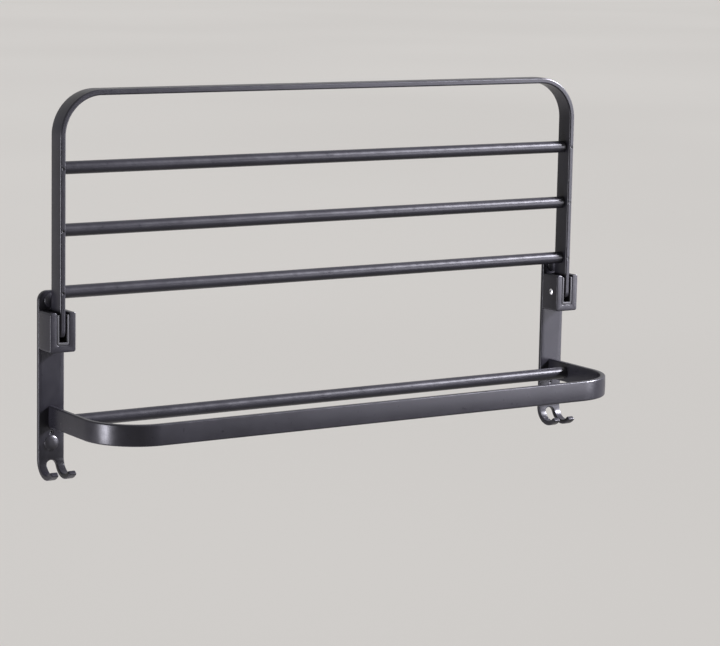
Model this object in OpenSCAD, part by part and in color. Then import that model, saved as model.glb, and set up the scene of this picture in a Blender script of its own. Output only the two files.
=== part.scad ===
// Folding towel rack for a bathroom wall, in millimetres.
// X runs along the wall, the wall is the plane Y = 0, the rack stands out towards -Y, and Z is up.
// The origin is the centre of the four wall screws. The upper frame is drawn standing up.

/* [Overall] */
// Width over the two wall plates
rack_w = 600; // [420:10:900]
// Height of the folding frame, from its hinge to its top face
frame_reach = 220.5; // [200:0.5:300]
// Depth of the fixed lower frame, from the wall to its front face
lower_depth = 128; // [110:1:200]
// Height between the upper and lower wall screws
screw_rise = 134; // [125:1:200]

/* [Flat bar] */
// Thickness of the bar both frames are bent from
bar_t = 6; // [5:0.5:8]
// Width of that bar
bar_d = 20; // [18:0.5:24]
// Bend radius of the folding frame, at the middle of the bar
fold_bend_r = 39.5; // [25:0.5:50]
// Bend radius of the lower frame, at the middle of the bar
lower_bend_r = 50; // [25:1:60]

/* [Round rails] */
// Outside diameter of the rails
rail_d = 12; // [9:0.5:14]
// Wall of the rail tube
rail_wall = 1.2; // [0.8:0.1:2]
// Depth of the socket that holds each rail end
socket_depth = 4; // [3:0.1:4.5]
// Radial gap between a rail and its socket
socket_gap = 0.05; // [0.02:0.01:0.1]
// Height of the lowest folding rail above the hinge
first_rail = 35; // [28:0.5:45]
// Pitch of the folding rails
rail_pitch = 57; // [40:0.5:58]
// Distance of the lower rail from the wall
lower_rail_y = 32; // [25:0.5:45]

/* [Wall plates] */
// Width of a wall plate and of its hinge block
plate_w = 26; // [24:0.5:34]
// Thickness of a wall plate
plate_t = 4.5; // [4.2:0.1:6]
// Radius of the two top corners
plate_corner_r = 9; // [4:0.5:12]
// Diameter of the wall screw holes
wall_hole_d = 5.2; // [4:0.1:6]
// Diameter of the recess for a wall screw's head
head_recess_d = 10; // [9:0.1:12]
// Depth of that recess
head_recess = 2.4; // [1.8:0.1:2.6]

/* [Hooks] */
// Gap between the two hooks of a plate
hook_gap = 10.4; // [6:0.2:14]
// Inside radius of a hook
hook_r = 13; // [9:0.5:18]
// Angle that the hook wraps through, in degrees
hook_wrap = 142; // [100:1:165]
// Height of the split's rounded top under the lower cap
split_drop = 9.3; // [7:0.1:20]
// Height of the bend's axis above the split's top
bend_rise = 1.9; // [0:0.1:6]

/* [Screw caps] */
// Diameter of a cap
cap_d = 14.2; // [13:0.1:16]
// Height of the cap's dome
cap_h = 1.8; // [1.2:0.1:2.5]
// Depth of the cap's skirt inside the recess
cap_skirt = 1.2; // [0.8:0.1:1.6]
// Wall of the cap
cap_wall = 0.6; // [0.5:0.1:0.8]
// Rim of plate left above the upper cap
cap_rim = 1.9; // [1:0.1:4]

/* [Hinge] */
// Height of a hinge block
block_h = 37; // [34:0.5:50]
// Gap between the block's top and the upper cap
block_cap_gap = 1.4; // [0.5:0.1:5]
// Height of the hinge pin above the block's bottom
pin_rise = 19.5; // [18:0.5:24]
// Distance of the hinge pin from the wall
pin_y = 18.5; // [18:0.5:22]
// Diameter of the hinge pin
pin_d = 4; // [3:0.1:5]
// Radial gap between the pin and the bore in the folding frame
pin_play = 0.05; // [0.02:0.01:0.1]
// Diameter of the pin's head
pin_head_d = 6; // [5.5:0.1:8]
// Height of the pin's head
pin_head_h = 1; // [0.6:0.1:1.5]
// Depth of the pin's thread in the outer cheek
pin_thread = 4.5; // [2:0.1:4.5]
// Wall of the slot liner beside the bar
liner_t = 2.1; // [1.5:0.1:3]
// Floor of the slot liner
liner_floor = 2.6; // [2:0.1:4]
// Gap between the bar and each side of the liner
side_gap = 1; // [0.6:0.1:1.5]
// Gap between the bar's end and the slot that it turns in
turn_gap = 0.3; // [0.2:0.05:1]
// Length of the bar below the pin
bar_end = 5.8; // [4.5:0.1:7]
// Diameter of the washers beside the bar
washer_d = 11; // [8:0.5:14]
// Play between a washer and the bar
washer_play = 0.1; // [0.05:0.01:0.2]

/* [Small screws] */
// Diameter of the grub screws that lock the rails
rail_grub_d = 3; // [2:0.1:3.5]
// Diameter of the grub screw in each wall plate
plate_grub_d = 4; // [3:0.1:5]
// Gap between the lower cap and that grub screw
grub_cap_gap = 1.4; // [1:0.1:4]
// Gap between that grub screw and the lower frame
grub_frame_gap = 2.5; // [1:0.1:6]
// Thread diameter of the countersunk screws
csk_d = 3; // [2.5:0.1:3.5]
// Head diameter of the countersunk screws
csk_head_d = 5.6; // [5:0.1:6.5]
// Thread length of the countersunk screws beyond the plate
csk_reach = 8; // [6:0.5:9]
// Spacing of the two screws in each end of the lower frame
arm_screw_pitch = 11; // [8:0.5:12]

/* [Hidden] */
$fn = 64;
small_fn = 32;
over = 1;        // how far a cut runs past the face it opens
flush = 0.3;     // how far a grub screw sits below the surface
side_x = rack_w / 2 - plate_w / 2;
upper_z = screw_rise / 2;
lower_z = -screw_rise / 2;
plate_top = upper_z + cap_d / 2 + cap_rim;
block_top = upper_z - cap_d / 2 - block_cap_gap;
block_bottom = block_top - block_h;
pin_z = block_bottom + pin_rise;
block_front = pin_y + bar_d / 2;
slot_back = pin_y - bar_d / 2 - turn_gap;
liner_top = pin_z - bar_d / 2 - turn_gap;
slot_bottom = liner_top - liner_floor;
slot_w = bar_t + 2 * side_gap + 2 * liner_t;
slot_corner_r = 2;
block_corner_r = 2.2;
cheek_x = (slot_w + plate_w) / 4;
plate_grub_z = lower_z + cap_d / 2 + grub_cap_gap + plate_grub_d / 2;
lower_frame_z = plate_grub_z + plate_grub_d / 2 + grub_frame_gap + bar_d / 2;
split_top = lower_z - cap_d / 2 - split_drop;
bend_z = split_top + bend_rise;
bend_y = hook_r + plate_t;
csk_depth = (csk_head_d - csk_d) / 2;
rail_half = side_x - bar_t / 2 + socket_depth;
rail_heights = [for (i = [0:2]) first_rail + i * rail_pitch];
hex_size = 0.55;   // width of a hexagon socket, as a share of its screw
black = [0.15, 0.15, 0.17];
deep_black = [0.08, 0.08, 0.09];
steel = [0.75, 0.75, 0.77];

// ---- shared shapes ----

// Puts a piece drawn for the right side, with its inner side at -X, on one side of the rack.
module on_side(side) {
    translate([side * side_x, 0, 0]) mirror([side < 0 ? 1 : 0, 0, 0]) children();
}

// Turns an outline in X and Z into a slab that runs from y_near to y_far in front of the wall.
module slab(y_near, y_far) {
    translate([0, -y_near, 0]) rotate([90, 0, 0]) linear_extrude(y_far - y_near) children();
}

// A cylinder along X, from x0 to x1, whose axis is at y and z.
module along_x(x0, x1, y, z, d) {
    translate([x0, y, z]) rotate([0, 90, 0]) cylinder(h = x1 - x0, d = d);
}

// A cylinder along Y, from y_near to y_far in front of the wall.
module out_of_wall(y_near, y_far, x, z, d) {
    translate([x, -y_near, z]) rotate([90, 0, 0]) cylinder(h = y_far - y_near, d = d);
}

// A rectangle from x0, z0 to x1, z1 with its four corners rounded.
module rounded_rect(x0, z0, x1, z1, r) {
    translate([x0 + r, z0]) square([x1 - x0 - 2 * r, z1 - z0]);
    translate([x0, z0 + r]) square([x1 - x0, z1 - z0 - 2 * r]);
    for (x = [x0 + r, x1 - r], z = [z0 + r, z1 - r])
        translate([x, z]) circle(r = r, $fn = small_fn);
}

// A flat bar bent to a U in X and Y: legs from y = 0, middle of the cross bar at y = leg.
module u_bar(leg, bend_r) {
    straight = side_x - bend_r;
    for (side = [-1, 1]) {
        translate([side * side_x - bar_t / 2, 0, -bar_d / 2])
            cube([bar_t, leg - bend_r, bar_d]);
        translate([side * straight, leg - bend_r, -bar_d / 2])
            rotate([0, 0, side > 0 ? 0 : 90])
                rotate_extrude(angle = 90)
                    translate([bend_r - bar_t / 2, 0]) square([bar_t, bar_d]);
    }
    translate([-straight, leg - bar_t / 2, -bar_d / 2]) cube([2 * straight, bar_t, bar_d]);
}

// The blind sockets for one rail, in both legs of a u_bar, at y along the legs and z across them.
module rail_sockets(y, z) {
    inner = side_x - bar_t / 2;
    d = rail_d + 2 * socket_gap;
    along_x(inner - over, rail_half, y, z, d);
    along_x(-rail_half, -inner + over, y, z, d);
}

// A rail tube between its two sockets.
module rail(y, z) {
    difference() {
        along_x(-rail_half, rail_half, y, z, rail_d);
        along_x(-rail_half - over, rail_half + over, y, z, rail_d - 2 * rail_wall);
    }
}

// A headless screw along -Y with a hexagon socket in its outer end.
module grub_screw(y_near, y_far, x, z, d) {
    difference() {
        out_of_wall(y_near, y_far, x, z, d);
        translate([x, -y_far + d / 3, z]) rotate([90, 0, 0])
            cylinder(h = d / 3 + over, d = d * hex_size, $fn = 6);
    }
}

// ---- wall plates ----

module plate_outline() {
    r = plate_corner_r;
    translate([-plate_w / 2, bend_z]) square([plate_w, plate_top - r - bend_z]);
    translate([-plate_w / 2 + r, bend_z]) square([plate_w - 2 * r, plate_top - bend_z]);
    for (x = [-plate_w / 2 + r, plate_w / 2 - r])
        translate([x, plate_top - r]) circle(r = r);
}

// The bottom of the plate, bent forward and up again.
module hook_bend() {
    translate([0, -bend_y, bend_z]) rotate([-90, 0, 90])
        rotate_extrude(angle = hook_wrap)
            translate([hook_r, -plate_w / 2]) square([plate_t, plate_w]);
}

// The split that leaves two hooks, with a rounded top.
module hook_split() {
    r = hook_gap / 2;
    reach = 2 * (hook_r + plate_t) + over;
    out_of_wall(-over, reach, 0, split_top - r, hook_gap);
    translate([-r, -reach, bend_z - bend_y - over])
        cube([hook_gap, reach + over, split_top - r - bend_z + bend_y + over]);
}

// A countersunk hole that opens at the back of the plate.
module countersunk_hole(x, z) {
    out_of_wall(-over, plate_t + over, x, z, csk_d);
    translate([x, 0, z]) rotate([90, 0, 0])
        cylinder(h = csk_depth, d1 = csk_head_d, d2 = csk_d);
}

module wall_plate() {
    color(black) difference() {
        union() {
            slab(0, plate_t) plate_outline();
            hook_bend();
        }
        hook_split();
        for (z = [upper_z, lower_z]) {
            out_of_wall(-over, plate_t + over, 0, z, wall_hole_d);
            out_of_wall(plate_t - head_recess, plate_t + over, 0, z, head_recess_d);
        }
        out_of_wall(-over, plate_t + over, 0, plate_grub_z, plate_grub_d);
        for (x = [-cheek_x, cheek_x]) countersunk_hole(x, block_bottom + block_h / 2);
        for (z = [-arm_screw_pitch / 2, arm_screw_pitch / 2]) countersunk_hole(0, lower_frame_z + z);
    }
}

// A domed cap whose skirt sits in the recess round a wall screw's head.
module screw_cap(z) {
    dome_r = (cap_d * cap_d / 4 + cap_h * cap_h) / (2 * cap_h);
    inner_r = head_recess_d / 2 - cap_wall;
    color(black) translate([0, -plate_t, z]) rotate([90, 0, 0]) difference() {
        union() {
            rotate_extrude() intersection() {
                translate([0, cap_h - dome_r]) circle(r = dome_r, $fn = 128);
                square([cap_d / 2, cap_h + over]);
            }
            translate([0, 0, -cap_skirt]) cylinder(h = cap_skirt, d = head_recess_d);
        }
        translate([0, 0, -cap_skirt - over])
            cylinder(h = cap_skirt + over + cap_h - 2 * cap_wall, r = inner_r);
    }
}

module plate_grub_screw() {
    color(steel) grub_screw(0, plate_t - flush, 0, plate_grub_z, plate_grub_d);
}

// ---- hinge ----

module slot_outline(w, bottom) {
    rounded_rect(-w / 2, bottom, w / 2, block_top + block_corner_r + over, slot_corner_r);
}

module hinge_block() {
    screw_z = block_bottom + block_h / 2;
    color(black) difference() {
        slab(plate_t, block_front)
            rounded_rect(-plate_w / 2, block_bottom, plate_w / 2, block_top, block_corner_r);
        slab(slot_back, block_front + over) slot_outline(slot_w, slot_bottom);
        along_x(-plate_w / 2 - over, slot_w / 2 + pin_thread, -pin_y, pin_z, pin_d);
        for (x = [-cheek_x, cheek_x])
            out_of_wall(plate_t - over, plate_t + csk_reach, x, screw_z, csk_d);
    }
}

// The plastic channel that lines the slot.
module slot_liner() {
    inner_w = slot_w - 2 * liner_t;
    color(deep_black) difference() {
        slab(slot_back, block_front) intersection() {
            slot_outline(slot_w, slot_bottom);
            translate([-slot_w / 2, slot_bottom])
                square([slot_w, block_top - block_corner_r - slot_bottom]);
        }
        slab(slot_back - over, block_front + over)
            translate([-inner_w / 2, liner_top]) square([inner_w, block_h]);
        along_x(-slot_w / 2 - over, slot_w / 2 + over, -pin_y, pin_z, pin_d);
    }
}

// Screwed in from the inner side, with a low domed head and a hexagon socket.
module hinge_pin() {
    head_x = -plate_w / 2;
    dome_r = (pin_head_d * pin_head_d / 4 + pin_head_h * pin_head_h) / (2 * pin_head_h);
    color(steel) difference() {
        union() {
            along_x(head_x, slot_w / 2 + pin_thread, -pin_y, pin_z, pin_d);
            translate([head_x, -pin_y, pin_z]) rotate([0, -90, 0]) rotate_extrude() intersection() {
                translate([0, pin_head_h - dome_r]) circle(r = dome_r, $fn = 128);
                square([pin_head_d / 2, pin_head_h + over]);
            }
        }
        translate([head_x - pin_head_h - over, -pin_y, pin_z]) rotate([0, 90, 0])
            cylinder(h = 2 * pin_head_h + over, d = pin_d * hex_size, $fn = 6);
    }
}

module pin_washers() {
    t = side_gap - washer_play;
    wall = slot_w / 2 - liner_t;
    color(steel) for (x = [-wall, wall - t]) difference() {
        along_x(x, x + t, -pin_y, pin_z, washer_d);
        along_x(x - over, x + t + over, -pin_y, pin_z, pin_d);
    }
}

// A countersunk screw driven in from the back of the plate.
module countersunk_screw(x, z) {
    translate([x, 0, z]) rotate([90, 0, 0]) difference() {
        union() {
            cylinder(h = csk_depth, d1 = csk_head_d, d2 = csk_d);
            cylinder(h = plate_t + csk_reach, d = csk_d);
        }
        translate([0, 0, -over]) cylinder(h = csk_depth + over, d = csk_d * hex_size, $fn = 6);
    }
}

module block_screws() {
    color(steel) for (x = [-cheek_x, cheek_x]) countersunk_screw(x, block_bottom + block_h / 2);
}

module arm_screws() {
    color(steel) for (z = [-arm_screw_pitch / 2, arm_screw_pitch / 2])
        countersunk_screw(0, lower_frame_z + z);
}

// ---- lower frame ----

module lower_frame() {
    leg = lower_depth - bar_t / 2 - plate_t;
    color(black) difference() {
        translate([0, -plate_t, lower_frame_z]) mirror([0, 1, 0]) u_bar(leg, lower_bend_r);
        rail_sockets(-lower_rail_y, lower_frame_z);
        for (side = [-1, 1], z = [-arm_screw_pitch / 2, arm_screw_pitch / 2])
            out_of_wall(plate_t - over, plate_t + csk_reach, side * side_x, lower_frame_z + z, csk_d);
    }
}

module lower_rail() {
    color(black) rail(-lower_rail_y, lower_frame_z);
}

// ---- folding frame ----

// The end of a leg below the pin: part of a disc round the pin, cut off flat.
module bar_foot() {
    intersection() {
        along_x(-bar_t / 2, bar_t / 2, -pin_y, pin_z, bar_d);
        translate([-bar_t / 2, -pin_y - bar_d / 2, pin_z - bar_end])
            cube([bar_t, bar_d, bar_end]);
    }
}

module fold_frame() {
    color(black) difference() {
        union() {
            translate([0, -pin_y, pin_z]) rotate([90, 0, 0])
                u_bar(frame_reach - bar_t / 2, fold_bend_r);
            for (side = [-1, 1]) on_side(side) bar_foot();
        }
        for (h = rail_heights) {
            rail_sockets(-pin_y, pin_z + h);
            for (side = [-1, 1])
                out_of_wall(pin_y + rail_d / 2 - over, block_front + over,
                            side * side_x, pin_z + h, rail_grub_d);
        }
        for (side = [-1, 1]) on_side(side)
            along_x(-bar_t, bar_t, -pin_y, pin_z, pin_d + 2 * pin_play);
    }
}

module fold_rail(number) {
    color(black) rail(-pin_y, pin_z + rail_heights[number]);
}

module rail_grub_screws() {
    color(steel) for (h = rail_heights)
        grub_screw(pin_y + rail_d / 2, block_front - flush, 0, pin_z + h, rail_grub_d);
}

on_side(-1) wall_plate();  // left_wall_plate
on_side(1) wall_plate();  // right_wall_plate
on_side(-1) screw_cap(upper_z);  // left_upper_cap
on_side(-1) screw_cap(lower_z);  // left_lower_cap
on_side(1) screw_cap(upper_z);  // right_upper_cap
on_side(1) screw_cap(lower_z);  // right_lower_cap
for (side = [-1, 1]) on_side(side) plate_grub_screw();  // plate_grub_screws
on_side(-1) hinge_block();  // left_hinge_block
on_side(1) hinge_block();  // right_hinge_block
on_side(-1) block_screws();  // left_block_screws
on_side(1) block_screws();  // right_block_screws
on_side(-1) slot_liner();  // left_slot_liner
on_side(1) slot_liner();  // right_slot_liner
on_side(-1) hinge_pin();  // left_hinge_pin
on_side(1) hinge_pin();  // right_hinge_pin
on_side(-1) pin_washers();  // left_pin_washers
on_side(1) pin_washers();  // right_pin_washers
lower_frame();
lower_rail();
on_side(-1) arm_screws();  // left_arm_screws
on_side(1) arm_screws();  // right_arm_screws
fold_frame();
fold_rail(0);  // fold_rail_bottom
fold_rail(1);  // fold_rail_middle
fold_rail(2);  // fold_rail_top
on_side(-1) rail_grub_screws();  // left_rail_grub_screws
on_side(1) rail_grub_screws();  // right_rail_grub_screws
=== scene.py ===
from math import asin, cos, pi, radians, sin

import bmesh
import bpy
import numpy as np
from mathutils import Matrix, Vector


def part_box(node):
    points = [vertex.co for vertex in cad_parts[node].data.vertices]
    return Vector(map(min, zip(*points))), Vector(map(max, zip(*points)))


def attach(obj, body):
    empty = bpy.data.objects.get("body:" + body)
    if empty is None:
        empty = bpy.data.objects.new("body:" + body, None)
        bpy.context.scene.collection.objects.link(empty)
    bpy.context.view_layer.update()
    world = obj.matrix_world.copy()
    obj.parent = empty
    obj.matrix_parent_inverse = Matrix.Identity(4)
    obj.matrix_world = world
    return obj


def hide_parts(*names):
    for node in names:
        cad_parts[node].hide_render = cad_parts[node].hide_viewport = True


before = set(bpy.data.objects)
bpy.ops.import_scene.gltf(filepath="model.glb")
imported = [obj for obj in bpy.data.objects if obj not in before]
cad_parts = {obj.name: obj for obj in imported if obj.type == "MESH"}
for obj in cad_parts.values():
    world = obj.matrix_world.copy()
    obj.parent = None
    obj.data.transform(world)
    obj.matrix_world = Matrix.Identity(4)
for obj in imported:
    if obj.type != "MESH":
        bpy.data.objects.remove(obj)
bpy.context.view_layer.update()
mm = 0.001
xAxis, yAxis, zAxis = np.eye(3)


def boxOf(node):
    # lowest and highest corner of a node, as two arrays
    lo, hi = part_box(node)
    return np.array(lo), np.array(hi)


# Where the frame says things are. The right side gives them, the left is its mirror image.
foldLo, foldHi = boxOf("fold_frame")
lowerLo, lowerHi = boxOf("lower_frame")
plateLo, plateHi = boxOf("right_wall_plate")
blockLo, blockHi = boxOf("right_hinge_block")
linerLo, linerHi = boxOf("right_slot_liner")
pinLo, pinHi = boxOf("right_hinge_pin")
sideX = (plateLo[0] + plateHi[0]) / 2
pinY = (pinLo[1] + pinHi[1]) / 2
pinZ = (pinLo[2] + pinHi[2]) / 2
barThick = 2 * (foldHi[0] - sideX)
plateFront = lowerHi[1]
sides = {"left": -1, "right": 1}


def gridFaces(rows, cols, closed):
    # Quads between each row of points and the next. Closed joins the last row to the first.
    row = np.arange(rows if closed else rows - 1)[:, None]
    col = np.arange(cols)[None, :]
    nextRow = (row + 1) % rows
    nextCol = (col + 1) % cols
    corners = [row * cols + col, row * cols + nextCol, nextRow * cols + nextCol, nextRow * cols + col]
    return np.stack(corners, -1).reshape(-1, 4)


def meshFromRings(name, rings, closed=False):
    # rings is a grid (ring, point, xyz). Open rows of rings end in one flat face each.
    rows, cols = rings.shape[:2]
    faces = gridFaces(rows, cols, closed).tolist()
    if not closed:
        faces += [list(range(cols))[::-1], list(range((rows - 1) * cols, rows * cols))]
    mesh = bpy.data.meshes.new(name)
    mesh.from_pydata(rings.reshape(-1, 3), [], faces)
    return cleaned(mesh)


def cleaned(mesh):
    # merges what coincides, drops what has no area, and turns every face outward
    bm = bmesh.new()
    bm.from_mesh(mesh)
    bmesh.ops.remove_doubles(bm, verts=bm.verts, dist=1e-7)
    bmesh.ops.dissolve_degenerate(bm, edges=bm.edges, dist=1e-8)
    bmesh.ops.recalc_face_normals(bm, faces=bm.faces)
    bm.to_mesh(mesh)
    bm.free()
    return mesh


def joined(name, meshes):
    # several meshes as one, each still a closed shell of its own
    bm = bmesh.new()
    for mesh in meshes:
        bm.from_mesh(mesh)
    whole = bpy.data.meshes.new(name)
    bm.to_mesh(whole)
    bm.free()
    return whole


def mirrored(mesh, side):
    # the same mesh on the left side, with its faces turned outward again
    if side < 0:
        mesh.transform(Matrix.Scale(-1, 4, Vector((1, 0, 0))))
        cleaned(mesh)
    return mesh


def cutOut(mesh, other):
    # mesh less other, by an exact boolean
    body = bpy.data.objects.new("body", mesh)
    tool = bpy.data.objects.new("tool", other)
    for thing in (body, tool):
        bpy.context.scene.collection.objects.link(thing)
    change = body.modifiers.new("change", "BOOLEAN")
    change.object = tool
    change.operation = "DIFFERENCE"
    change.solver = "EXACT"
    seen = body.evaluated_get(bpy.context.evaluated_depsgraph_get())
    result = bpy.data.meshes.new_from_object(seen)
    for thing in (body, tool):
        bpy.data.objects.remove(thing)
    return cleaned(result)


def addPiece(name, mesh, body, material, replaced, sharpAngle=32):
    # smooth shading with edges over the sharp angle kept, one material, and the piece's place in the frame
    mesh.shade_smooth()
    mesh.set_sharp_from_angle(angle=radians(sharpAngle))
    mesh.materials.clear()
    mesh.materials.append(material)
    piece = bpy.data.objects.new(name, mesh)
    bpy.context.scene.collection.objects.link(piece)
    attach(piece, body)
    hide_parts(*replaced)


def roundedSection(halfA, halfB, radius, crown, steps=6, hold=0.3 * mm, sidePoints=7, sideShare=0.75):
    # A rectangle whose corners are quarter circles. One more point on each side of a corner holds the flat,
    # and the two long sides bulge: each a is less by crown times the square of its b over halfB, and by
    # less than that within crown of the middle.
    start = np.arange(4)[:, None] * pi / 2
    turn = start + np.linspace(0, pi / 2, steps + 1)[None, :]
    centreA = (halfA - radius) * np.sign(np.cos(start + pi / 4))
    centreB = (halfB - radius) * np.sign(np.sin(start + pi / 4))
    a = centreA + radius * np.cos(turn)
    b = centreB + radius * np.sin(turn)
    before = np.stack([a[:, :1] + hold * np.sin(start), b[:, :1] - hold * np.cos(start)], -1)
    after = np.stack([a[:, -1:] - hold * np.cos(start), b[:, -1:] - hold * np.sin(start)], -1)
    corners = np.concatenate([before, np.stack([a, b], -1), after], 1)
    along = np.linspace(-sideShare, sideShare, sidePoints) * (halfB - radius)
    right = np.stack([np.full(sidePoints, halfA), along], -1)
    left = np.stack([np.full(sidePoints, -halfA), along[::-1]], -1)
    section = np.concatenate([corners[0], corners[1], left, corners[2], corners[3], right])
    fall = crown * (section[:, 1] / halfB) ** 2
    section[:, 0] -= np.sign(section[:, 0]) * fall * np.minimum(np.abs(section[:, 0]) / crown, 1)
    return section


def uPath(halfWidth, reach, bendRadius, legRows, steps=40):
    # Up the left leg, round a quarter circle, across, round another and down: points and outward normals.
    legRows = np.asarray(legRows)
    turn = np.linspace(0, pi / 2, steps + 1)
    arcNormal = np.stack([-np.cos(turn), np.sin(turn)], -1)
    centre = np.array([-halfWidth + bendRadius, reach - bendRadius])
    leg = np.stack([np.full(len(legRows), -halfWidth), legRows], -1)
    legNormal = np.tile([-1.0, 0.0], (len(legRows), 1))
    points = np.concatenate([leg, centre + bendRadius * arcNormal])
    normals = np.concatenate([legNormal, arcNormal])
    flip = np.array([-1.0, 1.0])
    return np.concatenate([points, points[::-1] * flip]), np.concatenate([normals, normals[::-1] * flip])


def turned(name, profile, base, axis, around=48, closed=False):
    # A profile of (radius, height, hexagon share) carried round an axis. Share 1 makes a ring a hexagon.
    profile = np.array([(*ring, 0.0)[:3] for ring in profile])
    axis = np.asarray(axis, float)
    across = np.cross(axis, zAxis) if abs(axis[2]) < 0.9 else np.cross(axis, xAxis)
    across /= np.linalg.norm(across)
    other = np.cross(axis, across)
    turn = np.arange(around) * 2 * pi / around
    hexagon = cos(pi / 6) / np.cos(turn % (pi / 3) - pi / 6)
    radius = profile[:, :1] * (1 + profile[:, 2:] * (hexagon[None, :] - 1))
    spokes = np.cos(turn)[:, None] * across + np.sin(turn)[:, None] * other
    rings = radius[:, :, None] * spokes[None] + profile[:, 1][:, None, None] * axis
    return meshFromRings(name, rings + np.asarray(base, float), closed)


def outline(corners, steps=10, hold=0.3 * mm):
    # A closed outline through (x, z, radius) corners. Each corner is an arc, inward or outward, whose
    # length along both sides is radius times the tangent of half its turn.
    place = np.array([corner[:2] for corner in corners], float)
    radius = np.array([corner[2] for corner in corners], float)
    ahead = np.roll(place, -1, 0) - place
    length = np.linalg.norm(ahead, axis=1)
    ahead /= length[:, None]
    behind = np.roll(ahead, 1, 0)
    bend = np.arctan2(behind[:, 0] * ahead[:, 1] - behind[:, 1] * ahead[:, 0], (behind * ahead).sum(1))
    reach = radius * np.tan(np.abs(bend) / 2)
    free = np.maximum(length - reach - np.roll(reach, -1), 0)
    holdAfter = np.minimum(hold, free / 3)
    holdBefore = np.roll(holdAfter, 1)
    side = np.sign(bend)
    normalIn = np.stack([behind[:, 1], -behind[:, 0]], -1)
    start = place - behind * reach[:, None]
    centre = start - normalIn * (radius * side)[:, None]
    turn = bend[:, None] * np.linspace(0, 1, steps + 1)[None, :]
    normals = np.stack([normalIn[:, None, 0] * np.cos(turn) - normalIn[:, None, 1] * np.sin(turn),
                        normalIn[:, None, 0] * np.sin(turn) + normalIn[:, None, 1] * np.cos(turn)], -1)
    arcs = centre[:, None, :] + normals * (radius * side)[:, None, None]
    before = arcs[:, :1] - (behind * holdBefore[:, None])[:, None, :]
    after = arcs[:, -1:] + (ahead * holdAfter[:, None])[:, None, :]
    points = np.concatenate([before, arcs, after], 1).reshape(-1, 2)
    return points, np.concatenate([normals[:, :1], normals, normals[:, -1:]], 1).reshape(-1, 2)


def edgedSlab(name, corners, yBack, yFront, backEdge, frontEdge, steps=5, arcSteps=10):
    # An outline carried from the wall side to the front. Each end is a quarter circle that draws the
    # outline in by radius times (1 - sine) while it runs out by radius times (1 - cosine).
    points, normals = outline(corners, arcSteps)
    turn = np.linspace(0, pi / 2, steps + 1)
    backIn = backEdge * (1 - np.sin(turn))
    backOut = backEdge * (1 - np.cos(turn))
    frontIn = frontEdge * (1 - np.sin(turn))
    frontOut = frontEdge * (1 - np.cos(turn))
    inset = np.concatenate([backIn, frontIn[::-1]])
    y = np.concatenate([yBack - backOut, (yFront + frontOut)[::-1]])
    flat = points[None] - normals[None] * inset[:, None, None]
    rings = np.stack([flat[..., 0], np.broadcast_to(y[:, None], flat.shape[:2]), flat[..., 1]], -1)
    return meshFromRings(name, rings)


def newMaterial(name):
    # a material, its node tree, its one shader and a source of coordinates
    material = bpy.data.materials.new(name)
    material.use_nodes = True
    tree = material.node_tree
    shader = tree.nodes["Principled BSDF"]
    coords = tree.nodes.new("ShaderNodeTexCoord")
    return material, tree, shader, coords


def noise(tree, coords, scale, detail=3.0, rough=0.5, stretch=(1, 1, 1)):
    # Noise on Object coordinates. Scale counts its features in each metre.
    mapping = tree.nodes.new("ShaderNodeMapping")
    mapping.inputs["Scale"].default_value = stretch
    texture = tree.nodes.new("ShaderNodeTexNoise")
    texture.inputs["Scale"].default_value = scale
    texture.inputs["Detail"].default_value = detail
    texture.inputs["Roughness"].default_value = rough
    tree.links.new(coords.outputs["Object"], mapping.inputs["Vector"])
    tree.links.new(mapping.outputs["Vector"], texture.inputs["Vector"])
    return texture.outputs["Fac"]


def spread(tree, value, low, high, fromLow=0.3, fromHigh=0.7):
    # carries a noise value onto the range low to high
    node = tree.nodes.new("ShaderNodeMapRange")
    node.inputs["From Min"].default_value = fromLow
    node.inputs["From Max"].default_value = fromHigh
    node.inputs["To Min"].default_value = low
    node.inputs["To Max"].default_value = high
    tree.links.new(value, node.inputs["Value"])
    return node.outputs["Result"]


def tones(tree, value, dark, light):
    # blends two colours by a value from 0 to 1
    node = tree.nodes.new("ShaderNodeMix")
    node.data_type = "RGBA"
    node.inputs["A"].default_value = (*dark, 1)
    node.inputs["B"].default_value = (*light, 1)
    tree.links.new(value, node.inputs["Factor"])
    return node.outputs["Result"]


def bump(tree, shader, heights):
    # stacks (value, depth in metres) pairs as bumps, the last one on top
    normal = None
    for value, depth in heights:
        node = tree.nodes.new("ShaderNodeBump")
        node.inputs["Strength"].default_value = 1.0
        node.inputs["Distance"].default_value = depth
        tree.links.new(value, node.inputs["Height"])
        if normal is not None:
            tree.links.new(normal, node.inputs["Normal"])
        normal = node.outputs["Normal"]
    tree.links.new(normal, shader.inputs["Normal"])


# Sizes are of the fine grain and of the ripple it lies on, scales count the drifts in each metre.
coat = {"dark": (0.0060, 0.0058, 0.0074), "light": (0.0090, 0.0087, 0.0108),
        "roughLow": 0.27, "roughHigh": 0.35, "specular": 0.18, "driftScale": 22, "cloudScale": 140,
        "grainSize": 0.45 * mm, "grainDepth": 0.004 * mm, "peelSize": 2.6 * mm, "peelDepth": 0.006 * mm}


def coatMaterial(name, look):
    # baked satin coat: a fine grain on a slow ripple, with slight drifts of tone and of sheen
    material, tree, shader, coords = newMaterial(name)
    drift = noise(tree, coords, look["driftScale"], 4)
    cloud = noise(tree, coords, look["cloudScale"], 3)
    tone = tones(tree, spread(tree, drift, 0, 1), look["dark"], look["light"])
    sheen = spread(tree, cloud, look["roughLow"], look["roughHigh"])
    tree.links.new(tone, shader.inputs["Base Color"])
    tree.links.new(sheen, shader.inputs["Roughness"])
    peel = noise(tree, coords, 1 / look["peelSize"], 1)
    grain = noise(tree, coords, 1 / look["grainSize"], 2)
    bump(tree, shader, [(peel, look["peelDepth"]), (grain, look["grainDepth"])])
    shader.inputs["Specular IOR Level"].default_value = look["specular"]
    return material


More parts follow.
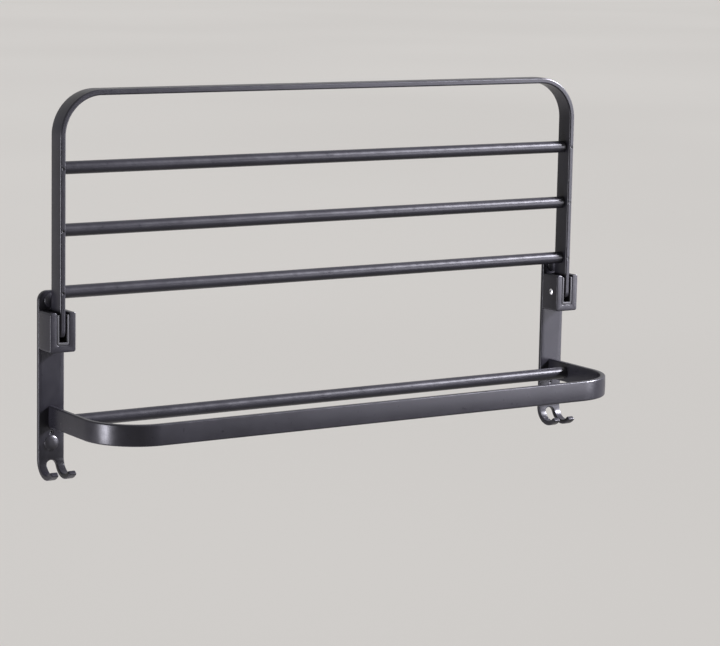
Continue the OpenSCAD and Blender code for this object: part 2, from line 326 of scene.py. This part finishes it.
blackCoat = coatMaterial("blackCoat", coat)
plastic = {**coat, "dark": (0.008, 0.008, 0.009), "light": (0.012, 0.012, 0.013),
           "roughLow": 0.5, "roughHigh": 0.62, "specular": 0.3,
           "grainSize": 0.25 * mm, "peelSize": 1.5 * mm, "peelDepth": 0.003 * mm}
linerPlastic = coatMaterial("linerPlastic", plastic)
capLook = {**coat, "roughLow": 0.30, "roughHigh": 0.38, "specular": 0.32, "grainDepth": 0.002 * mm}
capCoat = coatMaterial("capCoat", capLook)
# The last two entries are the colour of the shade painted into the pins' sockets and the factor on the
# socket's radius at which that painted shade has faded out.
metal = {"dark": (0.50, 0.50, 0.51), "light": (0.62, 0.62, 0.63), "roughLow": 0.22, "roughHigh": 0.36,
         "driftScale": 60, "lineScale": 900, "lineStretch": (1, 1, 6), "lineDepth": 0.002 * mm,
         "socketShade": (0.015, 0.014, 0.014), "socketShadeEdge": 1.08}


def steelMaterial(name):
    # turned steel: fine lines in one direction over a bright base
    material, tree, shader, coords = newMaterial(name)
    lines = noise(tree, coords, metal["lineScale"], 4, 0.6, metal["lineStretch"])
    drift = noise(tree, coords, metal["driftScale"], 3)
    tone = tones(tree, spread(tree, drift, 0, 1), metal["dark"], metal["light"])
    sheen = spread(tree, lines, metal["roughLow"], metal["roughHigh"])
    tree.links.new(tone, shader.inputs["Base Color"])
    tree.links.new(sheen, shader.inputs["Roughness"])
    bump(tree, shader, [(lines, metal["lineDepth"])])
    shader.inputs["Metallic"].default_value = 1.0
    return material


def paintSocketShade(material, radius):
    # paints shade: the steel nearer to the pins' axis than radius takes a dark colour, so the socket's recess
    # reads as in shade
    tree = material.node_tree
    shader = tree.nodes["Principled BSDF"]
    coords = tree.nodes.new("ShaderNodeTexCoord")
    mapping = tree.nodes.new("ShaderNodeMapping")
    mapping.inputs["Location"].default_value = (0, -pinY, -pinZ)
    mapping.inputs["Scale"].default_value = (0, 1, 1)
    length = tree.nodes.new("ShaderNodeVectorMath")
    length.operation = "LENGTH"
    tree.links.new(coords.outputs["Object"], mapping.inputs["Vector"])
    tree.links.new(mapping.outputs["Vector"], length.inputs[0])
    outside = spread(tree, length.outputs["Value"], 0, 1, radius, radius * metal["socketShadeEdge"])
    unshadedTone = shader.inputs["Base Color"].links[0].from_socket
    blend = tree.nodes.new("ShaderNodeMix")
    blend.data_type = "RGBA"
    blend.inputs["A"].default_value = (*metal["socketShade"], 1)
    tree.links.new(outside, blend.inputs["Factor"])
    tree.links.new(unshadedTone, blend.inputs["B"])
    tree.links.new(blend.outputs["Result"], shader.inputs["Base Color"])
    return material


pin = {"radius": 2 * mm, "play": 0.05 * mm, "headRadius": 3 * mm, "head": 1.0 * mm, "rimShare": 0.12,
       "topShare": 0.45, "rings": 9, "socket": 1.3 * mm, "socketDepth": 2.0 * mm, "socketLead": 0.1 * mm,
       "end": 0.3 * mm}
steel = steelMaterial("turnedSteel")
# the pins' steel, with shade painted into their hexagon sockets
pinSteel = paintSocketShade(steelMaterial("pinSteel"), pin["socket"])
darkScrew = coatMaterial("darkScrew", {**coat, "roughLow": 0.22, "roughHigh": 0.30, "specular": 0.6})
print("materials made")

# The crown is how far the wide faces bulge, hold is the last straight bit of a leg before its bend, and
# socketPast is how far a socket's cutter stands out of the bar.
bars = {"edge": 1.3 * mm, "crown": 0.4 * mm, "foldBend": 39.5 * mm, "lowerBend": 50 * mm, "hold": 5 * mm,
        "footEdge": 0.9 * mm, "socketGap": 0.05 * mm, "socketPast": 2 * mm,
        "grub": 3 * mm, "grubDepth": 4.2 * mm, "grubFlare": 0.3 * mm}
railNames = ["fold_rail_bottom", "fold_rail_middle", "fold_rail_top"]


def railSockets(node):
    # the two blind holes that take a rail's ends
    lo, hi = boxOf(node)
    middle = (lo + hi) / 2
    radius = (hi[2] - lo[2]) / 2 + bars["socketGap"]
    outside = sideX - barThick / 2 - bars["socketPast"]
    ends = [(hi[0], outside), (lo[0], -outside)]
    return [turned("socket", [(radius, 0), (radius, near - far)], (far, middle[1], middle[2]), xAxis, 64)
            for far, near in ends]


def barSections(halfWidth, reach, bendRadius, legRows, halfDepth, halfThick, edge):
    # The U's points and outward normals, and a rounded rectangle for each of them. Its size may change
    # from row to row of the legs.
    points, normals = uPath(halfWidth, reach, bendRadius, legRows)
    rest = len(points) // 2 - len(legRows)
    half = np.concatenate([halfDepth, np.full(rest, halfDepth[-1])])
    thick = np.concatenate([halfThick, np.full(rest, halfThick[-1])])
    corner = np.concatenate([edge, np.full(rest, edge[-1])])
    sections = np.stack([roundedSection(t, h, r, bars["crown"]) for t, h, r in zip(thick, half, corner)])
    sections = np.concatenate([sections, sections[::-1]])
    return points, normals, sections


def pinBore(x, play):
    # the hole for a pin through whatever stands at x, as long as the pin
    radius = pin["radius"] + play
    profile = [(radius, pinLo[0] - sideX), (radius, pinHi[0] - sideX)]
    return turned("bore", profile, (x, pinY, pinZ), xAxis)


def foldFrame():
    # The bar's section carried up the U. Below the pin the foot's half depth is the root of the bar's half
    # depth squared less the drop squared, so that it turns inside the slot.
    halfDepth = (foldHi[1] - foldLo[1]) / 2
    drop = pinZ - foldLo[2]
    footEdge = bars["footEdge"]
    turn = np.linspace(0, pi / 2, 5)
    endRows = -drop + footEdge * (1 - np.cos(turn))
    endInset = footEdge * (1 - np.sin(turn))
    footRows = np.linspace(endRows[-1], 0, 9)[1:]
    reach = foldHi[2] - pinZ - barThick / 2
    rows = np.concatenate([endRows, footRows, [reach - bars["foldBend"] - bars["hold"]]])
    inset = np.concatenate([endInset, np.zeros(len(footRows) + 1)])
    depth = np.sqrt(halfDepth ** 2 - np.minimum(rows, 0) ** 2) - inset
    points, normals, sections = barSections(sideX, reach, bars["foldBend"], rows, depth,
                                            barThick / 2 - inset, bars["edge"] - inset)
    rings = (points[:, None, :1] + sections[..., :1] * normals[:, None, :1]) * xAxis \
        + (points[:, None, 1:] + sections[..., :1] * normals[:, None, 1:] + pinZ) * zAxis \
        + (sections[..., 1:] + pinY) * yAxis
    mesh = meshFromRings("foldFrame", rings)
    cuts = []
    radius, flare, deep = bars["grub"] / 2, bars["grubFlare"], bars["grubDepth"]
    grubHole = [(radius, 0), (radius, deep - flare), (radius + 3 * flare, deep + 2 * flare)]
    for node in railNames:
        cuts += railSockets(node)
        z = sum(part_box(node)[i][2] for i in (0, 1)) / 2
        for x in (-sideX, sideX):
            cuts.append(turned("grubHole", grubHole, (x, foldLo[1] + deep, z), -yAxis, 32))
    cuts += [pinBore(-sideX, pin["play"]), pinBore(sideX, pin["play"])]
    return cutOut(mesh, joined("cuts", cuts))


def lowerFrame():
    # the same section carried round a U that lies flat
    halfDepth = (lowerHi[2] - lowerLo[2]) / 2
    reach = lowerHi[1] - lowerLo[1] - barThick / 2
    rows = np.array([0.0, reach - bars["lowerBend"] - bars["hold"]])
    same = np.ones(len(rows))
    points, normals, sections = barSections(sideX, reach, bars["lowerBend"], rows, halfDepth * same,
                                            barThick / 2 * same, bars["edge"] * same)
    middleZ = (lowerLo[2] + lowerHi[2]) / 2
    rings = (points[:, None, :1] + sections[..., :1] * normals[:, None, :1]) * xAxis \
        - (points[:, None, 1:] + sections[..., :1] * normals[:, None, 1:] - lowerHi[1]) * yAxis \
        + (sections[..., 1:] + middleZ) * zAxis
    mesh = meshFromRings("lowerFrame", rings)
    return cutOut(mesh, joined("cuts", railSockets("lower_rail")))


addPiece("foldFrame", foldFrame(), "folding_frame", blackCoat, ["fold_frame"])
addPiece("lowerFrame", lowerFrame(), "wall_frame", blackCoat, ["lower_frame"])
print("bars made")

tube = {"wall": 1.2 * mm, "chamfer": 0.3 * mm, "around": 96}


def railMesh(node):
    # a tube's own cross-section, with its ends chamfered, carried round its axis
    lo, hi = boxOf(node)
    radius = (hi[2] - lo[2]) / 2
    inner, chamfer = radius - tube["wall"], tube["chamfer"]
    length = hi[0] - lo[0]
    nearEnd = [(inner, 0), (radius - chamfer, 0), (radius, chamfer), (radius, 2 * chamfer)]
    farEnd = [(r, length - along) for r, along in reversed(nearEnd)]
    base = (lo[0], (lo[1] + hi[1]) / 2, (lo[2] + hi[2]) / 2)
    return turned(node, nearEnd + farEnd, base, xAxis, tube["around"], closed=True)


for node in railNames:
    addPiece(node + "_tube", railMesh(node), "folding_frame", blackCoat, [node])
addPiece("lower_rail_tube", railMesh("lower_rail"), "wall_frame", blackCoat, ["lower_rail"])
print("rails made")

# splitDrop is how far below the start of the roll the gap between the hooks begins.
plate = {"corner": 9 * mm, "edge": 0.9 * mm, "tipCorner": 1.3 * mm, "hookGap": 10.4 * mm,
         "hookRadius": 13 * mm, "hookWrap": radians(142), "splitDrop": 1.9 * mm, "rowAngle": radians(3),
         "hole": 5.2 * mm, "recess": 10 * mm, "recessDepth": 2.4 * mm, "grub": 4 * mm, "grubFlare": 0.5 * mm}
screws = {"head": 5.6 * mm, "thread": 3 * mm, "socket": 0.9 * mm, "socketShare": 0.6, "lead": 0.05 * mm,
          "land": 0.08 * mm, "tip": 0.4 * mm}


def plateMesh(side):
    # The plate is laid out flat, with the hooks' length along their middle, then its lower part is rolled:
    # a point at length s past the bend and height n turns by s over the middle radius, at outer radius - n.
    thick = -plateFront
    outer = plate["hookRadius"] + thick
    middle = outer - thick / 2
    bendZ = plateLo[2] + outer
    half = (plateHi[0] - plateLo[0]) / 2
    gap = plate["hookGap"] / 2
    tip = bendZ - middle * plate["hookWrap"]
    splitTop = bendZ - middle * asin(plate["splitDrop"] / middle)
    small = plate["tipCorner"]
    corners = [(-half, plateHi[2], plate["corner"]), (-half, tip, small), (-gap, tip, small),
               (-gap, splitTop, gap), (gap, splitTop, gap), (gap, tip, small),
               (half, tip, small), (half, plateHi[2], plate["corner"])]
    mesh = edgedSlab("plate", corners, 0, -thick, plate["edge"], plate["edge"], arcSteps=14)
    bm = bmesh.new()
    bm.from_mesh(mesh)
    bmesh.ops.triangulate(bm, faces=[face for face in bm.faces if len(face.verts) > 4])
    for row in np.arange(0, plate["hookWrap"], plate["rowAngle"]):
        geometry = bm.verts[:] + bm.edges[:] + bm.faces[:]
        bmesh.ops.bisect_plane(bm, geom=geometry, dist=1e-7, plane_co=(0, 0, bendZ - middle * row),
                               plane_no=(0, 0, 1))
    bm.to_mesh(mesh)
    bm.free()
    points = np.empty(len(mesh.vertices) * 3)
    mesh.vertices.foreach_get("co", points)
    points = points.reshape(-1, 3)
    turn = np.maximum(bendZ - points[:, 2], 0) / middle
    radius = outer + points[:, 1]
    rolled = np.stack([points[:, 0], -outer + radius * np.cos(turn), bendZ - radius * np.sin(turn)], -1)
    points = np.where((turn > 0)[:, None], rolled, points)
    points[:, 0] += sideX
    mesh.vertices.foreach_set("co", points.ravel())
    mesh.update()
    return mirrored(cutOut(cleaned(mesh), plateHoles(thick)), side)


def plateHoles(thick):
    # wall screw holes with a recess for the head, the grub screw's hole, and the countersunk holes behind
    past = 1 * mm
    cuts = []
    for node in ("right_upper_cap", "right_lower_cap"):
        lo, hi = boxOf(node)
        profile = [(plate["hole"] / 2, -past), (plate["hole"] / 2, thick - plate["recessDepth"]),
                   (plate["recess"] / 2, thick - plate["recessDepth"]), (plate["recess"] / 2, thick + past)]
        cuts.append(turned("wallHole", profile, (sideX, 0, (lo[2] + hi[2]) / 2), -yAxis))
    grubLo, grubHi = boxOf("plate_grub_screws")
    radius, flare = plate["grub"] / 2, plate["grubFlare"]
    profile = [(radius, -past), (radius, thick - flare), (radius + flare + past, thick + past)]
    cuts.append(turned("grubHole", profile, (sideX, 0, (grubLo[2] + grubHi[2]) / 2), -yAxis))
    for x, z in countersunkPlaces():
        head, shank = screws["head"] / 2, screws["thread"] / 2
        profile = [(head + past, -past), (shank, head - shank), (shank, thick + past)]
        cuts.append(turned("countersink", profile, (x, 0, z), -yAxis))
    return joined("holes", cuts)


def countersunkPlaces():
    # two beside each other behind the block, two above each other behind the lower frame
    blockScrewLo, blockScrewHi = boxOf("right_block_screws")
    armScrewLo, armScrewHi = boxOf("right_arm_screws")
    head = screws["head"] / 2
    z = (blockScrewLo[2] + blockScrewHi[2]) / 2
    x = (armScrewLo[0] + armScrewHi[0]) / 2
    return [(blockScrewLo[0] + head, z), (blockScrewHi[0] - head, z),
            (x, armScrewLo[2] + head), (x, armScrewHi[2] - head)]


for label, side in sides.items():
    addPiece(label + "WallPlate", plateMesh(side), "wall_frame", blackCoat,
             [label + "_wall_plate"])
print("plates made")

cap = {"dome": 1.8 * mm, "domeShare": 0.97, "domePower": 3.2, "rings": 14,
       "rim": 0.45 * mm, "rimShare": 0.985, "rimUpper": 0.8, "rimLower": 0.4, "skirtBore": 0.88}


def capMesh(node):
    # A shallow dome, rim height plus the rest times one minus a power of its radius share, down to a
    # rounded rim, with its skirt in the plate's recess.
    lo, hi = boxOf(node)
    radius = (hi[2] - lo[2]) / 2
    skirt = plate["recess"] / 2
    bore = skirt * cap["skirtBore"]
    rimHeight, rise = cap["rim"], cap["dome"] - cap["rim"]
    dome = [(radius * share * cap["domeShare"], rimHeight + rise * (1 - share ** cap["domePower"]))
            for share in np.linspace(0, 1, cap["rings"])]
    rim = [(radius * cap["rimShare"], rimHeight * cap["rimUpper"]), (radius, rimHeight * cap["rimLower"]),
           (radius, 0)]
    inside = hi[1] - plateFront
    profile = dome + rim + [(skirt, 0), (skirt, -inside), (bore, -inside), (bore, 0), (0, 0)]
    base = ((lo[0] + hi[0]) / 2, plateFront, (lo[2] + hi[2]) / 2)
    return turned(node, profile, base, -yAxis, 64)


for label in sides:
    for level in ("upper", "lower"):
        node = f"{label}_{level}_cap"
        addPiece(node + "_dome", capMesh(node), "wall_frame", capCoat, [node])
print("caps made")

# front, back and lip are edge radii. The cut sizes say how far the slot's cutter runs past the block.
block = {"corner": 2.2 * mm, "front": 1.0 * mm, "back": 0.3 * mm, "slotCorner": 2 * mm, "lip": 1.6 * mm,
         "cutOutside": 4 * mm, "cutAbove": 0.2 * mm, "cutTop": 3.2 * mm, "cutFront": 0.1 * mm}
liner = {"leg": 2.1 * mm, "floor": 2.6 * mm, "corner": 0.6 * mm, "edge": 0.35 * mm}


def flaredSlot(corners, yBack, yFront, flare, steps=5):
    # The slot's outline carried to the front, where it opens by radius times (1 - cosine) over the last
    # radius of its length, so that what it cuts is left with a rounded edge.
    points, normals = outline(corners)
    turn = np.linspace(0, pi / 2, steps + 1)
    past = block["cutFront"]
    opening = np.concatenate([[0.0], flare * (1 - np.cos(turn)), [flare + 3 * past]])
    y = np.concatenate([[yBack], yFront + flare * (1 - np.sin(turn)), [yFront - past]])
    flat = points[None] + normals[None] * opening[:, None, None]
    rings = np.stack([flat[..., 0], np.broadcast_to(y[:, None], flat.shape[:2]), flat[..., 1]], -1)
    return meshFromRings("slot", rings)


def blockMesh(side):
    # a rounded block with a slot that is open in front and on top
    slotHalf = (linerHi[0] - linerLo[0]) / 2
    lowX, highX, lowZ, highZ = blockLo[0] - sideX, blockHi[0] - sideX, blockLo[2], blockHi[2]
    corner = block["corner"]
    around = [(lowX, highZ, corner), (lowX, lowZ, corner), (highX, lowZ, corner), (highX, highZ, corner)]
    whole = edgedSlab("block", around, blockHi[1], blockLo[1], block["back"], block["front"])
    outside, above, top = slotHalf + block["cutOutside"], highZ + block["cutAbove"], highZ + block["cutTop"]
    slot = [(-outside, top, 0), (-outside, above, 0), (-slotHalf, highZ, block["lip"]),
            (-slotHalf, linerLo[2], block["slotCorner"]), (slotHalf, linerLo[2], block["slotCorner"]),
            (slotHalf, highZ, block["lip"]), (outside, above, 0), (outside, top, 0)]
    whole = cutOut(whole, flaredSlot(slot, linerHi[1], blockLo[1], block["front"]))
    whole.transform(Matrix.Translation((sideX, 0, 0)))
    return mirrored(cutOut(whole, pinBore(sideX, 0)), side)


def linerMesh(side):
    # the channel's outline carried from the slot's back to the front
    half = (linerHi[0] - linerLo[0]) / 2
    inner = half - liner["leg"]
    floor = linerLo[2] + liner["floor"]
    top = linerHi[2]
    small = liner["corner"]
    large = block["slotCorner"]
    corners = [(-half, top, small), (-half, linerLo[2], large), (half, linerLo[2], large), (half, top, small),
               (inner, top, small), (inner, floor, small), (-inner, floor, small), (-inner, top, small)]
    mesh = edgedSlab("liner", corners, linerHi[1], linerLo[1], liner["edge"], liner["edge"], 3, 6)
    mesh.transform(Matrix.Translation((sideX, 0, 0)))
    return mirrored(cutOut(mesh, pinBore(sideX, 0)), side)


for label, side in sides.items():
    addPiece(label + "HingeBlock", blockMesh(side), "wall_frame", blackCoat,
             [label + "_hinge_block"])
    addPiece(label + "SlotLiner", linerMesh(side), "wall_frame", linerPlastic,
             [label + "_slot_liner"])
print("hinge blocks made")

grub = {"socketShare": 0.55, "depthShare": 0.4, "edge": 0.25 * mm, "lead": 0.05 * mm, "land": 0.08 * mm}


def pinMesh(side):
    # A low dome with a hexagon socket, on the inner side of the block, and the plain shaft behind it. The
    # dome's height falls with the square of its radius share, from the share where its top is flat.
    rim, top, flat = pin["head"] * pin["rimShare"], pin["head"], pin["topShare"]
    dome = [(pin["headRadius"] * share, rim + (top - rim) * (1 - share ** 2) / (1 - flat ** 2))
            for share in np.linspace(flat, 1, pin["rings"])]
    bottom, lead = top - pin["socketDepth"], pin["socketLead"]
    socket = [(0, bottom), (pin["socket"], bottom, 1), (pin["socket"], top - lead, 1),
              (pin["socket"] + lead, top, 0)]
    length = pinHi[0] - blockLo[0]
    shaft = [(pin["headRadius"], 0), (pin["radius"], 0), (pin["radius"], -length + pin["end"]),
             (pin["radius"] - pin["end"], -length), (0, -length)]
    mesh = turned("pin", socket + dome + shaft, (blockLo[0], pinY, pinZ), -xAxis)
    return mirrored(mesh, side)


def grubScrews(node, radius, places):
    # headless screws with a chamfered end and a hexagon socket, the same one at each place
    lo, hi = boxOf(node)
    height = hi[1] - lo[1]
    socket, bottom = radius * grub["socketShare"], height * (1 - grub["depthShare"])
    edge = grub["edge"]
    profile = [(0, bottom), (socket, bottom, 1), (socket, height - grub["lead"], 1),
               (socket + grub["land"], height, 0), (radius - edge, height), (radius, height - edge),
               (radius, 0), (0, 0)]
    return joined(node, [turned(node, profile, (x, hi[1], z), -yAxis) for x, z in places])


def countersunkScrews(node, places, side):
    # a flat head level with the plate's back, and its thread
    lo, hi = boxOf(node)
    head, shank = screws["head"] / 2, screws["thread"] / 2
    length = hi[1] - lo[1]
    socket, lead, land, tip = shank * screws["socketShare"], screws["lead"], screws["land"], screws["tip"]
    profile = [(0, screws["socket"]), (socket, screws["socket"], 1), (socket, lead, 1), (socket + land, 0, 0),
               (head - land, 0), (head, land), (shank, head - shank + lead),
               (shank, length - tip), (shank - tip, length), (0, length)]
    return joined(node, [turned(node, profile, (side * x, hi[1], z), -yAxis) for x, z in places])


railHeights = [sum(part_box(node)[i][2] for i in (0, 1)) / 2 for node in railNames]
plateGrubLo, plateGrubHi = boxOf("plate_grub_screws")
plateGrubZ = (plateGrubLo[2] + plateGrubHi[2]) / 2
for label, side in sides.items():
    addPiece(label + "HingePin", pinMesh(side), "wall_frame", pinSteel, [label + "_hinge_pin"])
    node = label + "_rail_grub_screws"
    railScrews = grubScrews(node, bars["grub"] / 2, [(side * sideX, z) for z in railHeights])
    addPiece(label + "RailGrubScrews", railScrews, "folding_frame", darkScrew, [node])
    spots = countersunkPlaces()
    node = label + "_block_screws"
    blockScrews = countersunkScrews(node, spots[:2], side)
    addPiece(label + "BlockScrews", blockScrews, "wall_frame", steel, [node])
    node = label + "_arm_screws"
    armScrews = countersunkScrews(node, spots[2:], side)
    addPiece(label + "ArmScrews", armScrews, "wall_frame", steel, [node])
node = "plate_grub_screws"
plateScrews = grubScrews(node, plate["grub"] / 2, [(-sideX, plateGrubZ), (sideX, plateGrubZ)])
addPiece("plateGrubScrews", plateScrews, "wall_frame", darkScrew, [node])
for label in sides:
    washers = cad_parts[label + "_pin_washers"]
    washers.data.materials.clear()
    washers.data.materials.append(steel)
print("screws made")

room = {"floorZ": -1.6, "floorHalf": 150.0, "floorDark": (0.71, 0.695, 0.68),
        "floorLight": (0.74, 0.725, 0.71), "driftScale": 0.2, "rough": 0.85}


def makeFloor():
    # a pale square, so large that no view shows its edge
    material, tree, shader, coords = newMaterial("paleFloor")
    drift = noise(tree, coords, room["driftScale"], 1)
    tone = tones(tree, spread(tree, drift, 0, 1), room["floorDark"], room["floorLight"])
    tree.links.new(tone, shader.inputs["Base Color"])
    shader.inputs["Roughness"].default_value = room["rough"]
    half, z = room["floorHalf"], room["floorZ"]
    mesh = bpy.data.meshes.new("floor")
    corners = [(-half, -half, z), (half, -half, z), (half, half, z), (-half, half, z)]
    mesh.from_pydata(corners, [], [(0, 1, 2, 3)])
    mesh.materials.append(material)
    floor = bpy.data.objects.new("floor", mesh)
    bpy.context.scene.collection.objects.link(floor)


# The sky's two ends, and three boxes: high on the right, in front on the right, and low on the left.
studio = {"horizon": (0.42, 0.418, 0.414), "zenith": (1.08, 1.065, 1.05), "tint": (0.90, 0.885, 1.0),
          "spread": radians(64), "target": (0, 0, 0.08),
          "key": {"place": (2.5, -1.05, 1.55), "size": (0.7, 0.4), "power": 115},
          "front": {"place": (2.45, -2.3, 0.1), "size": (1.8, 1.4), "power": 17.5},
          "left": {"place": (-2.4, -0.1, -0.3), "size": (0.5, 0.9), "power": 15}}


def areaLight(name, place, size, power):
    # one soft box, turned to the rack and unseen by the camera
    lamp = bpy.data.lights.new(name, "AREA")
    lamp.shape = "RECTANGLE"
    lamp.size, lamp.size_y = size
    lamp.energy = power
    lamp.color = studio["tint"]
    lamp.spread = studio["spread"]
    light = bpy.data.objects.new(name, lamp)
    light.location = place
    light.rotation_euler = (Vector(studio["target"]) - Vector(place)).to_track_quat("-Z", "Y").to_euler()
    light.visible_camera = False
    bpy.context.scene.collection.objects.link(light)


def makeLight():
    # pale all round and brighter overhead, with a key and a wide front box on the right and a narrow box
    # on the left
    world = bpy.data.worlds.new("studio")
    bpy.context.scene.world = world
    world.use_nodes = True
    tree = world.node_tree
    background = tree.nodes["Background"]
    coords = tree.nodes.new("ShaderNodeTexCoord")
    split = tree.nodes.new("ShaderNodeSeparateXYZ")
    tree.links.new(coords.outputs["Generated"], split.inputs["Vector"])
    height = spread(tree, split.outputs["Z"], 0, 1, 0, 1)
    tree.links.new(tones(tree, height, studio["horizon"], studio["zenith"]), background.inputs["Color"])
    for name in ("key", "front", "left"):
        box = studio[name]
        areaLight(name, box["place"], box["size"], box["power"])


# The camera looks 32.7 degrees to the right of the wall's normal and 9.1 degrees down, with a slight roll.
view = {"place": (-1.376, -2.223, 0.443), "turn": radians(32.74), "down": radians(9.07),
        "roll": radians(1.10), "lens": 135.1, "sensor": 36.0, "farthest": 500}


def makeCamera():
    # the view's own three axes, rolled about the line of sight, are the columns of the camera's turn
    lens = bpy.data.cameras.new("camera")
    lens.lens = view["lens"]
    lens.sensor_width = view["sensor"]
    lens.clip_end = view["farthest"]
    turn, down = view["turn"], view["down"]
    ahead = Vector((sin(turn) * cos(down), cos(turn) * cos(down), -sin(down)))
    right = Vector((cos(turn), -sin(turn), 0))
    up = right.cross(ahead)
    rolledRight = right * cos(view["roll"]) + up * sin(view["roll"])
    rolledUp = up * cos(view["roll"]) - right * sin(view["roll"])
    axes = Matrix((rolledRight, rolledUp, -ahead)).transposed().to_4x4()
    camera = bpy.data.objects.new("camera", lens)
    camera.matrix_world = Matrix.Translation(view["place"]) @ axes
    bpy.context.scene.collection.objects.link(camera)
    bpy.context.scene.camera = camera


makeFloor()
makeLight()
makeCamera()
bpy.context.scene.view_settings.view_transform = "Standard"
print("room made")
